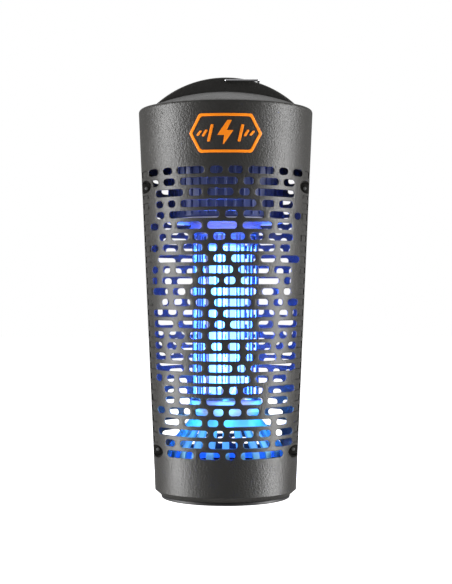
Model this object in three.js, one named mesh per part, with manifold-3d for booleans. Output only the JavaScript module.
// Electric bug zapper: a tapered, slotted housing in two halves, with a dome and grip on top, a caged
// ultraviolet lamp inside, and a twist-off insect tray below. Millimetres, +Z up, and the origin is the
// centre of the face that the object stands on.
import * as THREE from 'three';
import { mergeGeometries, mergeVertices } from 'three/addons/utils/BufferGeometryUtils.js';
import Module from 'manifold-3d';

const wasm = await Module();
wasm.setup();

// ---- driving dimensions ----

const clearance = 0.3;          // gap between pieces that touch
const around = 24;              // facets round a large turned piece
const aroundSmall = 10;         // facets round a screw, lead or tube

const rimHeight = 336.5;        // top edge of the housing
const rimRadius = 76;
const footRadius = 61.5;        // housing radius above its bottom bevel
const standHeight = 2.8;        // underside of the housing
const bevelHeight = 4.4;
const bevelWidth = 5.2;
const rimRound = 3;
const housingWall = 2.6;
const mouthRadius = 54;         // opening in the housing's underside
const ledgeThickness = 2.4;
const ledgeWidth = 3.4;

const slotHeight = 5.9;
const slotPitch = 9.1;
const topSlotHeight = 278.8;    // centre of the top row
const slotWeb = 4.8;            // solid between two slots of a row
const slotReach = 0.89;         // share of the radius that a row reaches to each side

const domeRise = 15;
const capWall = 2.6;
const capLip = 1.5;             // housing rim over the cap's shoulder
const capSeat = 318.6;          // lower edge of the cap's skirt
const capScrewCircle = 62;
const capBoss = 4.2;
const gripRise = 27.7;          // top of the grip above the rim
const gripRadius = 90;
const gripThickness = 24;

const wireRadius = 1;
const bailDrop = 3.2;           // pivot below the top of the grip
const bailReach = 28;
const bailSpan = 28;             // across the two legs

const cupRadius = 49;
const cupFloor = 242;
const cupWall = 2.2;
const boardHeight = 270;
const boardRadius = 42;
const boardThickness = 1.6;

const outerGridRadius = 28.6;
const innerGridRadius = 23.4;
const gridBars = 14;
const gridWire = 1.5;
const gridBand = 3;
const insulatorRim = 2.9;       // insulators beyond the outer grid
const insulatorLip = 3.9;       // insulators inside the inner grid
const topInsulatorThickness = 7.2;
const cageFoot = 72;            // underside of the lower insulator
const lowerInsulatorThickness = 13;

const tubeRadius = 4;
const tubeCircle = 13;
const lampBaseRadius = 15.5;
const lampBaseLength = 17;
const tubeEnd = 87;             // lowest point of the lamp

const grilleRibs = 24;
const grilleWall = 2;

const trayRadius = 56;
const trayFloor = 2.5;
const trayWall = 2;
const trayDepth = 23;
const trayGap = 0.5;
const trayLugs = 3;
const lugHeight = 3;
const lugTop = 20;
const lugGap = 1.6;             // all round, between the lugs and the housing's mouth
const lugWidth = 10;
const trayTwist = THREE.MathUtils.degToRad(60);
const trayDrop = 12;

const screwRadius = 1.5;
const screwHeadRadius = 2.6;
const screwHeadHeight = 2;
const counterboreRadius = 5.2;
const screwLength = 18;
const headSeat = -8;            // where the screw heads seat, in front of the seam
const screwInset = 4.4;         // screw axis inside the housing's side
const screwHeights = [268, 42];

const glandHeight = 305;
const glandBore = 2.8;
const glandRadius = 4.7;
const glandFlange = 7.5;

// Slot rows from the top down. A number is a slot's length in mm before the row is stretched to the
// housing's width, and a negative number is a stretch that stays solid.
const slotRows = [
  [8, 7, 21, 10, 11, 20, 7, 8],
  [8, 9, 45, 8, 15, 9, -2],
  [-1, 22, 10, 20, 8, 31, -2],
  [-1, 6, 6, 63, 10, 12, -3],
  [-1, 7, 44, 11, 18, 18, 6],
  [7, 7, 21, 25, 25, 13, -3],
  [-3, 6, 15, 12, 10, 12, 11, 22, -2],
  [6, 13, 16, 8, 44, 9, -4],
  [-1, 43, 10, 20, 12, 17],
  [5, 6, 18, 25, 25, 15, -2],
  [4, 26, 17, 9, 32, 6, -2],
  [13, 10, 12, 37, 14, 6, -2],
  [-3, 6, 14, 11, 31, 10, 8, 9],
  [21, 16, 8, 42, 7, 4],
  [17, 26, 8, 19, 12, 17],
  [8, 13, 10, 55, 6, 4],
  [6, 8, 20, 9, 10, 21, 6, 7],
  [9, 11, 44, 6, 15, 13],
  [23, 10, 19, 6, 36],
  [5, 6, 61, 10, 12, -3],
  [-2, 8, 37, 7, 16, 23],
  [-3, 7, 18, 24, 18, 17, -1],
  [6, 17, 10, 8, 10, 10, 25],
  [-1, 13, 15, 9, 41, 9, -1],
  [40, 8, 19, 9, 14],
  [-1, 8, 19, 24, 22, 15],
  [-2, 23, 17, 8, 36, -3],
];

// ---- sizes that follow ----

const bevelTop = standHeight + bevelHeight;
const housingRadius = (z) =>
  footRadius + (rimRadius - footRadius) * (z - bevelTop) / (rimHeight - bevelTop);
const innerRadius = (z) => housingRadius(z) - housingWall;
const capRadius = rimRadius - rimRound - capLip - clearance;
const domeHeight = (r) => rimHeight + domeRise * (1 - (r / capRadius) ** 2);
const gripTop = rimHeight + gripRise;
const bailHeight = gripTop - bailDrop;
const flangeTop = capSeat - clearance;
const flangeThickness = 2;
const flangeUnder = flangeTop - flangeThickness;
const upperLedgeTop = flangeUnder - clearance;
const insulatorRadius = outerGridRadius + insulatorRim;
const insulatorBore = innerGridRadius - insulatorLip;
const hubPlateThickness = 3.2;
const hubPlateTop = cupFloor - clearance;
const hubPlateUnder = hubPlateTop - hubPlateThickness;
const topInsulatorTop = hubPlateUnder - clearance;
const cageTop = topInsulatorTop - topInsulatorThickness - clearance;
const cageBottom = cageFoot + lowerInsulatorThickness + clearance;
const grilleTop = cageFoot - clearance;
const lugRadius = mouthRadius - lugGap;
const cupOuter = lugRadius - 1.7;
const ringFlangeUnder = 24.3;
const ringFlangeTop = ringFlangeUnder + 2.5;
const grilleFlangeTop = ringFlangeTop + clearance + 2.2;
const ringInner = lugRadius + 0.9;
const ringOuter = ringInner + 2;

// ---- finishes ----

const charcoalPlastic = new THREE.MeshStandardMaterial({ color: 0x3a3936, roughness: 0.5 });
const blackPlastic = new THREE.MeshStandardMaterial({ color: 0x1d1d20, roughness: 0.55 });
const orangePlate = new THREE.MeshStandardMaterial({ color: 0xff8a00, roughness: 0.45 });
const chromeWire = new THREE.MeshStandardMaterial({ color: 0xd8d8dc, roughness: 0.15, metalness: 1 });
const zincSteel = new THREE.MeshStandardMaterial({ color: 0xa7a9ab, roughness: 0.35, metalness: 1 });
const gridSteel = new THREE.MeshStandardMaterial({ color: 0x9ba6ad, roughness: 0.3, metalness: 1 });
const whiteInsulator = new THREE.MeshStandardMaterial({ color: 0xdcdcec, roughness: 0.5 });
const blueInsulator = new THREE.MeshStandardMaterial({ color: 0x2a4ad8, roughness: 0.5 });
const lampGlass = new THREE.MeshStandardMaterial({ color: 0x9ffff2, roughness: 0.1 });
const greenBoard = new THREE.MeshStandardMaterial({ color: 0x1f6b3a, roughness: 0.5 });
const ferrite = new THREE.MeshStandardMaterial({ color: 0x2b2b2d, roughness: 0.7 });
const brownFilm = new THREE.MeshStandardMaterial({ color: 0x8a3b22, roughness: 0.4 });
const sealRubber = new THREE.MeshStandardMaterial({ color: 0x141414, roughness: 0.8 });
const redLead = new THREE.MeshStandardMaterial({ color: 0xb02020, roughness: 0.5 });

// ---- shape helpers ----

// A closed solid that can be joined and cut, from any closed three.js geometry.
function solidOf(geometry) {
  const bare = new THREE.BufferGeometry();
  bare.setAttribute('position', geometry.attributes.position.clone());
  bare.setIndex(geometry.index ? geometry.index.clone() : null);
  const merged = mergeVertices(bare, 1e-4);
  const index = merged.index.array;
  const kept = [];
  for (let i = 0; i < index.length; i += 3) {
    const [a, b, c] = [index[i], index[i + 1], index[i + 2]];
    if (a !== b && b !== c && c !== a) kept.push(a, b, c);
  }
  return new wasm.Manifold(new wasm.Mesh({
    numProp: 3,
    vertProperties: new Float32Array(merged.attributes.position.array),
    triVerts: new Uint32Array(kept),
  }));
}

function geometryOf(solid) {
  const mesh = solid.getMesh();
  const geometry = new THREE.BufferGeometry();
  geometry.setAttribute('position', new THREE.BufferAttribute(new Float32Array(mesh.vertProperties), 3));
  geometry.setIndex(new THREE.BufferAttribute(new Uint32Array(mesh.triVerts), 1));
  geometry.computeVertexNormals();
  return geometry;
}

// A piece turned round Z from [radius, height] points, which run upwards along its outside. A ring's
// outline closes on itself, and a solid one's starts and ends on the axis.
function turned(points, facets = around) {
  const onAxis = points[0][0] === 0;
  const outline = (onAxis ? points : [...points, points[0]]).map(([r, z]) => new THREE.Vector2(r, z));
  return new THREE.LatheGeometry(outline, facets).rotateX(Math.PI / 2);
}

function disc(radius, bottom, top, facets = around) {
  return turned([[0, bottom], [radius, bottom], [radius, top], [0, top]], facets);
}

function ring(inner, outer, bottom, top, facets = around) {
  return turned([[inner, bottom], [outer, bottom], [outer, top], [inner, top]], facets);
}

function block(width, depth, height, x, y, z) {
  return new THREE.BoxGeometry(width, depth, height).translate(x, y, z);
}

// A post along Z, standing at x, y.
function post(radius, bottom, top, x, y, facets = aroundSmall) {
  return disc(radius, bottom, top, facets).translate(x, y, 0);
}

// A cylinder along Y.
function crossPin(radius, start, end, x, z, facets = aroundSmall) {
  return disc(radius, start, end, facets).rotateX(-Math.PI / 2).translate(x, 0, z);
}

function tubeAlong(points, radius, steps, facets = 8) {
  const section = new THREE.Shape();
  for (let i = 0; i < facets; i++) {
    const angle = (i + 0.5) * 2 * Math.PI / facets;
    const [x, y] = [radius * Math.cos(angle), radius * Math.sin(angle)];
    if (i === 0) section.moveTo(x, y);
    else section.lineTo(x, y);
  }
  const path = new THREE.CatmullRomCurve3(points.map((p) => new THREE.Vector3(...p)), false, 'centripetal');
  return new THREE.ExtrudeGeometry(section, { steps, extrudePath: path, bevelEnabled: false });
}

function joinAll(geometries) {
  return geometries.map(solidOf).reduce((whole, next) => whole.add(next));
}

function cutAll(solid, geometries) {
  return geometries.map(solidOf).reduce((whole, next) => whole.subtract(next), solid);
}

function onCircle(count, radius, make, start = 0) {
  return Array.from({ length: count }, (_, i) => {
    const angle = start + i * 2 * Math.PI / count;
    return make(radius * Math.cos(angle), radius * Math.sin(angle), angle);
  });
}

// ---- housing ----

function slotCutters() {
  const cutters = [];
  slotRows.forEach((row, index) => {
    const z = topSlotHeight - index * slotPitch;
    const half = slotReach * housingRadius(z);
    const webs = (row.length - 1) * slotWeb;
    const stretch = (2 * half - webs) / row.reduce((sum, length) => sum + Math.abs(length), 0);
    let x = -half;
    for (const length of row) {
      const width = Math.abs(length) * stretch;
      if (length > 0) cutters.push(block(width, rimRadius, slotHeight, x + width / 2, -rimRadius * 0.65, z));
      x += width + slotWeb;
    }
  });
  return cutters;
}

function housingOutside() {
  return solidOf(turned([
    [0, standHeight],
    [footRadius - bevelWidth, standHeight],
    [footRadius, bevelTop],
    [housingRadius(rimHeight - rimRound), rimHeight - rimRound],
    [rimRadius - rimRound * 0.35, rimHeight - rimRound * 0.3],
    [rimRadius - rimRound, rimHeight],
    [0, rimHeight],
  ]));
}

function ledge(top) {
  const bottom = top - ledgeThickness;
  const width = ledgeWidth + housingWall;
  return [
    [innerRadius(bottom), bottom],
    [housingRadius(bottom) - width, bottom],
    [housingRadius(bottom) - width, top],
    [innerRadius(top), top],
  ];
}

function housingInside() {
  const lipUnder = rimHeight - 2.5;
  return solidOf(turned([
    [0, standHeight - 1],
    [mouthRadius, standHeight - 1],
    [mouthRadius, standHeight + housingWall],
    [innerRadius(bevelTop + 1.5), bevelTop + 1.5],
    ...ledge(ringFlangeUnder - clearance),
    ...ledge(grilleFlangeTop + clearance + ledgeThickness),
    ...ledge(upperLedgeTop),
    [innerRadius(lipUnder), lipUnder],
    [capRadius + clearance, lipUnder],
    [capRadius + clearance, rimHeight + 1],
    [0, rimHeight + 1],
  ]));
}

function screwPlaces() {
  return screwHeights.flatMap((z) => {
    const x = housingRadius(z) - screwInset;
    return [[-x, z], [x, z]];
  });
}

// The front half: slots, and screw bosses with counterbores. The rear half is the same turned round,
// with blind holes that the screws bite into.
function halfHousing(isFront) {
  const outside = housingOutside();
  const bosses = screwPlaces().map(([x, z]) => crossPin(4.4, -45, 0, x, z));
  let half = outside.subtract(housingInside());
  half = half.add(joinAll(bosses).intersect(outside));
  half = half.intersect(solidOf(block(200, 100, 400, 0, -50 - clearance / 2, 200)));
  half = half.subtract(solidOf(mergeGeometries(slotCutters())));
  const bores = screwPlaces().flatMap(([x, z]) => (isFront
    ? [crossPin(counterboreRadius, -60, headSeat, x, z), crossPin(screwRadius + clearance, -60, 1, x, z)]
    : [crossPin(screwRadius + clearance, headSeat - screwLength * 0.1 - 3, 1, x, z)]));
  return cutAll(half, bores);
}

function rearHalf() {
  const gland = crossPin(glandRadius + clearance, -rimRadius - 5, -rimRadius / 2, 0, glandHeight);
  return cutAll(halfHousing(false), [gland]);
}

function housingScrew() {
  const head = crossPin(screwHeadRadius, -screwHeadHeight, 0, 0, 0);
  const shank = crossPin(screwRadius, -0.5, screwLength, 0, 0);
  const slot = block(0.9, 1.6, screwHeadRadius * 1.5, 0, -screwHeadHeight, 0);
  const cross = block(screwHeadRadius * 1.5, 1.6, 0.9, 0, -screwHeadHeight, 0);
  return cutAll(joinAll([head, shank]), [slot, cross]);
}

// ---- cap, grip and bail ----

function gripBody(thickness, radius, foot) {
  const halfWidth = 60;
  const centre = gripTop - gripRadius;
  const outline = new THREE.Shape();
  outline.moveTo(-halfWidth, foot);
  outline.lineTo(halfWidth, foot);
  const edge = Math.acos(halfWidth / radius);
  outline.absarc(0, centre, radius, edge, Math.PI - edge, false);
  return new THREE.ExtrudeGeometry(outline, { depth: thickness, bevelEnabled: false, curveSegments: 10 })
    .rotateX(Math.PI / 2).translate(0, thickness / 2, 0);
}

function topCap() {
  const skirtOuter = innerRadius(capSeat) - clearance;
  const skirtInner = skirtOuter - 2.4;
  const shoulder = rimHeight - 2.5 - clearance;
  const domeSteps = 5;
  const profile = [];
  for (let i = 0; i <= domeSteps; i++) {
    const r = capRadius * i / domeSteps;
    profile.unshift([r, domeHeight(r)]);
  }
  const under = [];
  for (let i = 0; i <= domeSteps - 1; i++) {
    const r = skirtInner * i / (domeSteps - 1);
    under.push([r, domeHeight(r) - capWall - (i === domeSteps - 1 ? 1 : 0)]);
  }
  const dome = solidOf(turned([
    ...under,
    [skirtInner, capSeat],
    [skirtOuter, capSeat],
    [skirtOuter, shoulder],
    [capRadius, shoulder],
    ...profile,
  ]));
  const grip = solidOf(gripBody(gripThickness, gripRadius, rimHeight));
  const bosses = onCircle(4, capScrewCircle, (x, y) =>
    post(capBoss, capSeat, domeHeight(capScrewCircle + capBoss) - capWall * 0.6, x, y, 8), Math.PI / 4);
  const hollow = gripBody(gripThickness - 2 * capWall, gripRadius - capWall, rimHeight - 4);
  const pivots = crossPin(wireRadius + clearance + 0.1, -gripThickness, gripThickness, 0, bailHeight);
  const screwHoles = onCircle(4, capScrewCircle, (x, y) =>
    post(screwRadius + clearance, capSeat - 1, capSeat + 12, x, y), Math.PI / 4);
  const cap = dome.add(grip).add(joinAll(bosses));
  return cutAll(cap, [hollow, pivots, ...screwHoles]);
}

function hangBail() {
  const leg = bailSpan / 2;
  const inside = gripThickness / 2 - capWall + 0.4;
  const corner = 3.5;
  const half = [
    [0, inside, 0],
    [0, leg - 0.9, 0],
    [1, leg - 0.2, 0],
    [3, leg, 0],
    [bailReach - corner, leg, 0],
    [bailReach - corner * 0.3, leg - corner * 0.3, 0],
    [bailReach, leg - corner, 0],
  ];
  const mirrored = half.map(([x, y, z]) => [x, -y, z]).reverse();
  return tubeAlong([...half, ...mirrored], wireRadius, 44, 6);
}

// A long six-sided plate that follows the housing's front, 0.8 thick.
function frontEmblem() {
  const halfWidth = 30;
  const halfHeight = 16;
  const middle = 308.6;
  const outline = new THREE.Shape([
    new THREE.Vector2(-halfWidth, 0),
    new THREE.Vector2(-halfWidth * 0.72, -halfHeight),
    new THREE.Vector2(halfWidth * 0.72, -halfHeight),
    new THREE.Vector2(halfWidth, 0),
    new THREE.Vector2(halfWidth * 0.72, halfHeight),
    new THREE.Vector2(-halfWidth * 0.72, halfHeight),
  ]);
  const prism = new THREE.ExtrudeGeometry(outline, { depth: rimRadius, bevelEnabled: false })
    .rotateX(Math.PI / 2).translate(0, 0, middle);
  const bottom = middle - halfHeight - 2;
  const top = middle + halfHeight + 2;
  const skin = turned([
    [housingRadius(bottom) + clearance, bottom],
    [housingRadius(bottom) + clearance + 0.8, bottom],
    [housingRadius(top) + clearance + 0.8, top],
    [housingRadius(top) + clearance, top],
  ]);
  return solidOf(skin).intersect(solidOf(prism));
}

// ---- electronics ----

const leadPlaces = [[0, outerGridRadius], [0, -innerGridRadius]];
const leadBore = (bottom, top) => leadPlaces.map(([x, y]) => post(1.7, bottom, top, x, y, 6));

function electronicsCup() {
  const socketBore = 17;
  const cup = solidOf(turned([
    [socketBore, cupFloor],
    [cupRadius, cupFloor],
    [cupRadius, flangeUnder],
    [innerRadius(flangeUnder) - clearance, flangeUnder],
    [innerRadius(flangeUnder) - clearance, flangeTop],
    [cupRadius - cupWall, flangeTop],
    [cupRadius - cupWall, cupFloor + cupWall],
    [socketBore, cupFloor + cupWall],
  ]));
  const posts = onCircle(3, 38, (x, y) => post(3, cupFloor + 1, boardHeight - clearance, x, y, 8), 0.5);
  const holes = onCircle(4, capScrewCircle, (x, y) =>
    post(screwRadius + clearance, flangeUnder - 1, flangeTop + 1, x, y), Math.PI / 4);
  return cutAll(cup.add(joinAll(posts)), [...holes, ...leadBore(cupFloor - 1, cupFloor + cupWall + 1)]);
}

function hubPlate() {
  const plate = solidOf(ring(17, cupRadius + 1.2, hubPlateUnder, hubPlateTop));
  return cutAll(plate, leadBore(hubPlateUnder - 1, hubPlateTop + 1));
}

function capScrew() {
  return joinAll([
    disc(3, flangeUnder - clearance - 2.2, flangeUnder - clearance, aroundSmall),
    disc(screwRadius, flangeUnder - 1, capSeat + 9, aroundSmall),
  ]);
}

function mainBoard() {
  const holes = leadPlaces.map(([x, y]) => post(1.7, boardHeight - 1, boardHeight + 3, x, y, 6));
  return cutAll(solidOf(disc(boardRadius, boardHeight, boardHeight + boardThickness, 20)), holes);
}

const onBoard = boardHeight + boardThickness + clearance;

function boardParts() {
  const core = cutAll(solidOf(block(24, 20, 20, 0, 0, 10)),
    [block(5, 30, 12.6, -6.5, 0, 10), block(5, 30, 12.6, 6.5, 0, 10)]);
  const winding = solidOf(block(17.4, 26, 12, 0, 0, 10)).subtract(solidOf(block(8.6, 20.6, 30, 0, 0, 10)));
  return { core, winding };
}

// ---- lamp and cage ----

function lampSocket() {
  const bottom = topInsulatorTop - topInsulatorThickness + 4;
  const top = cupFloor + cupWall + 12;
  const flange = cupFloor + cupWall + clearance;
  const body = joinAll([
    disc(lampBaseRadius + 0.8, bottom, top, 16),
    disc(18.6, flange, flange + 2.5, 16),
  ]);
  return cutAll(body, lampPins(bottom - 1, bottom + 7, 1.6));
}

function lampPins(bottom, top, radius) {
  return [-6, 6].map((x) => post(radius, bottom, top, x, 0, 6));
}

const lampBaseTop = topInsulatorTop - topInsulatorThickness + 4 - clearance;
const lampBaseUnder = lampBaseTop - lampBaseLength;

function lampBase() {
  return joinAll([
    disc(lampBaseRadius, lampBaseUnder, lampBaseTop, 16),
    ...lampPins(lampBaseTop - 1, lampBaseTop + 6, 1.2),
  ]);
}

// One bent tube: two legs on the lamp's circle, joined at the bottom by a half turn.
function lampTube() {
  const legs = tubeCircle * Math.SQRT1_2;
  const bend = tubeEnd + tubeRadius + legs;
  const top = lampBaseUnder - clearance;
  const points = [[legs, 0, top], [legs, 0, (top + bend) / 2], [legs, 0, bend + 4]];
  const turns = 6;
  for (let i = 0; i <= turns; i++) {
    const angle = i * Math.PI / turns;
    points.push([legs * Math.cos(angle), 0, bend - legs * Math.sin(angle)]);
  }
  points.push([-legs, 0, bend + 4], [-legs, 0, (top + bend) / 2], [-legs, 0, top]);
  return tubeAlong(points, tubeRadius, 30).translate(0, legs, 0);
}

function gridCage(radius, start) {
  const bottomBand = ring(radius - gridWire, radius + gridWire * 0.6, cageBottom, cageBottom + gridBand);
  const topBand = ring(radius - gridWire, radius + gridWire * 0.6, cageTop - gridBand, cageTop);
  const height = cageTop - cageBottom - gridBand;
  const bars = onCircle(gridBars, radius - gridWire * 0.2, (x, y, angle) =>
    block(gridWire, gridWire, height, 0, 0, 0).rotateZ(angle)
      .translate(x, y, (cageTop + cageBottom) / 2), start);
  return joinAll([bottomBand, topBand, ...bars]);
}

function topInsulator() {
  const bottom = topInsulatorTop - topInsulatorThickness;
  return cutAll(solidOf(ring(insulatorBore, insulatorRadius, bottom, topInsulatorTop)),
    leadBore(bottom - 1, topInsulatorTop + 1));
}

function lowerInsulator() {
  return solidOf(turned([
    [insulatorBore, cageFoot],
    [insulatorRadius - 3, cageFoot],
    [insulatorRadius, cageFoot + 3],
    [insulatorRadius, cageFoot + lowerInsulatorThickness],
    [insulatorBore, cageFoot + lowerInsulatorThickness],
  ]));
}

function gridLead(x, y) {
  return post(1, cageTop + clearance, onBoard + 3, x, y, 6);
}

// ---- base ----

// A bell of ribs that carries the cage and lets insects fall through between them.
function baseGrille() {
  const under = ringFlangeTop + clearance;
  const flangeEdge = innerRadius(under) - clearance;
  const bell = solidOf(turned([
    [ringInner - grilleWall, under],
    [flangeEdge, under],
    [flangeEdge, grilleFlangeTop],
    [ringInner, grilleFlangeTop],
    [51.5, 42],
    [43, 53.5],
    [28, grilleTop],
    [insulatorBore, grilleTop],
    [insulatorBore, grilleTop - grilleWall],
    [26.5, grilleTop - grilleWall],
    [41.2, 51.8],
    [49.5, 41],
  ]));
  const wedges = onCircle(grilleRibs, 1, (x, y, angle) => {
    const gap = new THREE.Shape([
      new THREE.Vector2(31.5, -2.1),
      new THREE.Vector2(70, -5),
      new THREE.Vector2(70, 5),
      new THREE.Vector2(31.5, 2.1),
    ]);
    return new THREE.ExtrudeGeometry(gap, { depth: 27, bevelEnabled: false }).rotateZ(angle)
      .translate(0, 0, 35);
  }, Math.PI / grilleRibs);
  return cutAll(bell, wedges);
}

// A strip of ramp that winds down as it goes round, from one angle to another.
function ramp(inner, outer, top, thickness, from, to, fall) {
  const steps = 5;
  const shape = new THREE.BoxGeometry(1, 1, 1, steps, 1, 1);
  const position = shape.attributes.position;
  for (let i = 0; i < position.count; i++) {
    const share = position.getX(i) + 0.5;
    const angle = from + (to - from) * share;
    const r = position.getY(i) < 0 ? outer : inner;
    const level = top - fall * share - (position.getZ(i) < 0 ? thickness : 0);
    position.setXYZ(i, r * Math.cos(angle), r * Math.sin(angle), level);
  }
  return shape;
}

function bayonetRing() {
  const bottom = 9.5;
  const edge = innerRadius(ringFlangeUnder) - clearance;
  const body = solidOf(turned([
    [ringInner, bottom],
    [ringOuter, bottom],
    [ringOuter, ringFlangeUnder],
    [edge, ringFlangeUnder],
    [edge, ringFlangeTop],
    [ringInner, ringFlangeTop],
  ]));
  const lugHalf = lugWidth / 2 / lugRadius;
  const rampTurn = trayTwist * 0.3 + lugHalf;
  const rampFall = trayDrop * rampTurn / trayTwist;
  const top = lugTop - lugHeight - clearance - 0.2;
  const ramps = onCircle(trayLugs, 1, (x, y, angle) => ramp(cupOuter + trayGap + 0.4, ringOuter - 0.6,
    top, 2, angle - lugHalf, angle - lugHalf + rampTurn, rampFall));
  return ramps.map(solidOf).reduce((whole, next) => whole.add(next), body);
}

function insectTray() {
  const gripRadiusIn = 30;
  const gripDepth = 12;
  const cup = solidOf(turned([
    [0, gripDepth],
    [gripRadiusIn, gripDepth],
    [gripRadiusIn, 0],
    [trayRadius, 0],
    [trayRadius, trayFloor],
    [cupOuter, trayFloor],
    [cupOuter, trayDepth],
    [cupOuter - trayWall, trayDepth],
    [cupOuter - trayWall, trayFloor],
    [gripRadiusIn + trayWall, trayFloor],
    [gripRadiusIn + trayWall, gripDepth + trayWall],
    [0, gripDepth + trayWall],
  ]));
  const grip = block(2 * gripRadiusIn + 1, 9, gripDepth, 0, 0, gripDepth / 2 + 0.6);
  const lugs = onCircle(trayLugs, (cupOuter + lugRadius - 1) / 2, (x, y, angle) =>
    block(lugRadius - cupOuter + 1, lugWidth, lugHeight, 0, 0, 0).rotateZ(angle)
      .translate(x, y, lugTop - lugHeight / 2));
  return [grip, ...lugs].map(solidOf).reduce((whole, next) => whole.add(next), cup);
}

function traySeal() {
  return ring(cupOuter + trayGap, mouthRadius - 0.7, trayFloor + clearance, trayFloor + clearance + 2);
}

// ---- cord inlet ----

function cordGland() {
  const wallOutside = housingRadius(glandHeight + glandFlange) + clearance;
  const flangeThick = 0.8;
  const length = 12;
  return new THREE.LatheGeometry([
    [glandBore, -length],
    [glandRadius, -length],
    [glandRadius, 0],
    [glandFlange, 0],
    [glandFlange - 0.8, flangeThick],
    [glandBore, flangeThick],
    [glandBore, -length],
  ].map(([r, y]) => new THREE.Vector2(r, y)), 12).translate(0, wallOutside, 0);
}

function glandNut() {
  const wallInside = innerRadius(glandHeight) - 1.2;
  return new THREE.LatheGeometry([
    [glandRadius + clearance, -3],
    [glandFlange, -3],
    [glandFlange, 0],
    [glandRadius + clearance, 0],
    [glandRadius + clearance, -3],
  ].map(([r, y]) => new THREE.Vector2(r, y)), 12).translate(0, wallInside, 0);
}

// ---- assembly ----

const zapper = new THREE.Group();

function addPart(group, name, shape, material) {
  const geometry = shape.isBufferGeometry ? shape : geometryOf(shape);
  const mesh = new THREE.Mesh(geometry, material);
  mesh.name = name;
  group.add(mesh);
  return mesh;
}

function addHousing() {
  const housing = new THREE.Group();
  addPart(housing, 'front_shell', halfHousing(true), charcoalPlastic);
  addPart(housing, 'rear_shell', rearHalf(), charcoalPlastic).rotation.z = Math.PI;
  addPart(housing, 'front_emblem', frontEmblem(), orangePlate);
  addPart(housing, 'cord_gland', cordGland(), blackPlastic).position.z = glandHeight;
  addPart(housing, 'gland_nut', glandNut(), blackPlastic).position.z = glandHeight;
  const names = ['upper_left', 'upper_right', 'lower_left', 'lower_right'];
  screwPlaces().forEach(([x, z], i) => {
    const screw = addPart(housing, `housing_screw_${names[i]}`, housingScrew(), zincSteel);
    screw.position.set(x, headSeat - clearance, z);
  });
  zapper.add(housing);
}

function addCrown() {
  const crown = new THREE.Group();
  addPart(crown, 'top_cap', topCap(), charcoalPlastic);
  addPart(crown, 'hang_bail', hangBail(), chromeWire).position.z = bailHeight;
  onCircle(4, capScrewCircle, (x, y) => [x, y], Math.PI / 4).forEach(([x, y], i) => {
    addPart(crown, `cap_screw_${i + 1}`, capScrew(), zincSteel).position.set(x, y, 0);
  });
  zapper.add(crown);
}

function addElectronics() {
  const hub = new THREE.Group();
  addPart(hub, 'electronics_cup', electronicsCup(), blueInsulator);
  addPart(hub, 'hub_lower_plate', hubPlate(), whiteInsulator);
  addPart(hub, 'main_board', mainBoard(), greenBoard);
  const { core, winding } = boardParts();
  addPart(hub, 'transformer_core', core, ferrite).position.set(14, 12, onBoard);
  addPart(hub, 'transformer_winding', winding, brownFilm).position.set(14, 12, onBoard);
  for (let i = 0; i < 4; i++) {
    const film = block(7, 18, 12, 0, 0, 6);
    addPart(hub, `film_capacitor_${i + 1}`, film, brownFilm).position.set(-32 + i * 8.5, 14, onBoard);
  }
  const can = disc(6, 0, 20, 12);
  addPart(hub, 'smoothing_capacitor', can, blackPlastic).position.set(-24, -14, onBoard);
  addPart(hub, 'terminal_block', block(16, 9, 10, 0, 0, 5), whiteInsulator).position.set(20, -22, onBoard);
  addPart(hub, 'fuse', block(12, 5, 5, 0, 0, 2.5), whiteInsulator).position.set(6, -33, onBoard);
  addPart(hub, 'grid_lead_outer', gridLead(...leadPlaces[0]), redLead);
  addPart(hub, 'grid_lead_inner', gridLead(...leadPlaces[1]), redLead);
  zapper.add(hub);
}

function addLampAndCage() {
  const column = new THREE.Group();
  addPart(column, 'lamp_socket', lampSocket(), whiteInsulator);
  addPart(column, 'lamp_base', lampBase(), whiteInsulator);
  const lamp = new THREE.Group();
  lamp.rotation.z = THREE.MathUtils.degToRad(-25);
  addPart(lamp, 'lamp_tube_front', lampTube(), lampGlass).rotation.z = Math.PI;
  addPart(lamp, 'lamp_tube_rear', lampTube(), lampGlass);
  column.add(lamp);
  addPart(column, 'outer_grid', gridCage(outerGridRadius, 0.12), gridSteel);
  addPart(column, 'inner_grid', gridCage(innerGridRadius, 0.12 + Math.PI / gridBars), gridSteel);
  addPart(column, 'grid_top_insulator', topInsulator(), whiteInsulator);
  addPart(column, 'grid_lower_insulator', lowerInsulator(), whiteInsulator);
  zapper.add(column);
}

function addBase() {
  const base = new THREE.Group();
  addPart(base, 'base_grille', baseGrille(), blueInsulator);
  addPart(base, 'bayonet_ring', bayonetRing(), blackPlastic);
  addPart(base, 'tray_seal', traySeal(), sealRubber);
  addPart(base, 'insect_tray', insectTray(), blackPlastic);
  zapper.add(base);
}

addHousing();
addCrown();
addElectronics();
addLampAndCage();
addBase();

export default zapper;
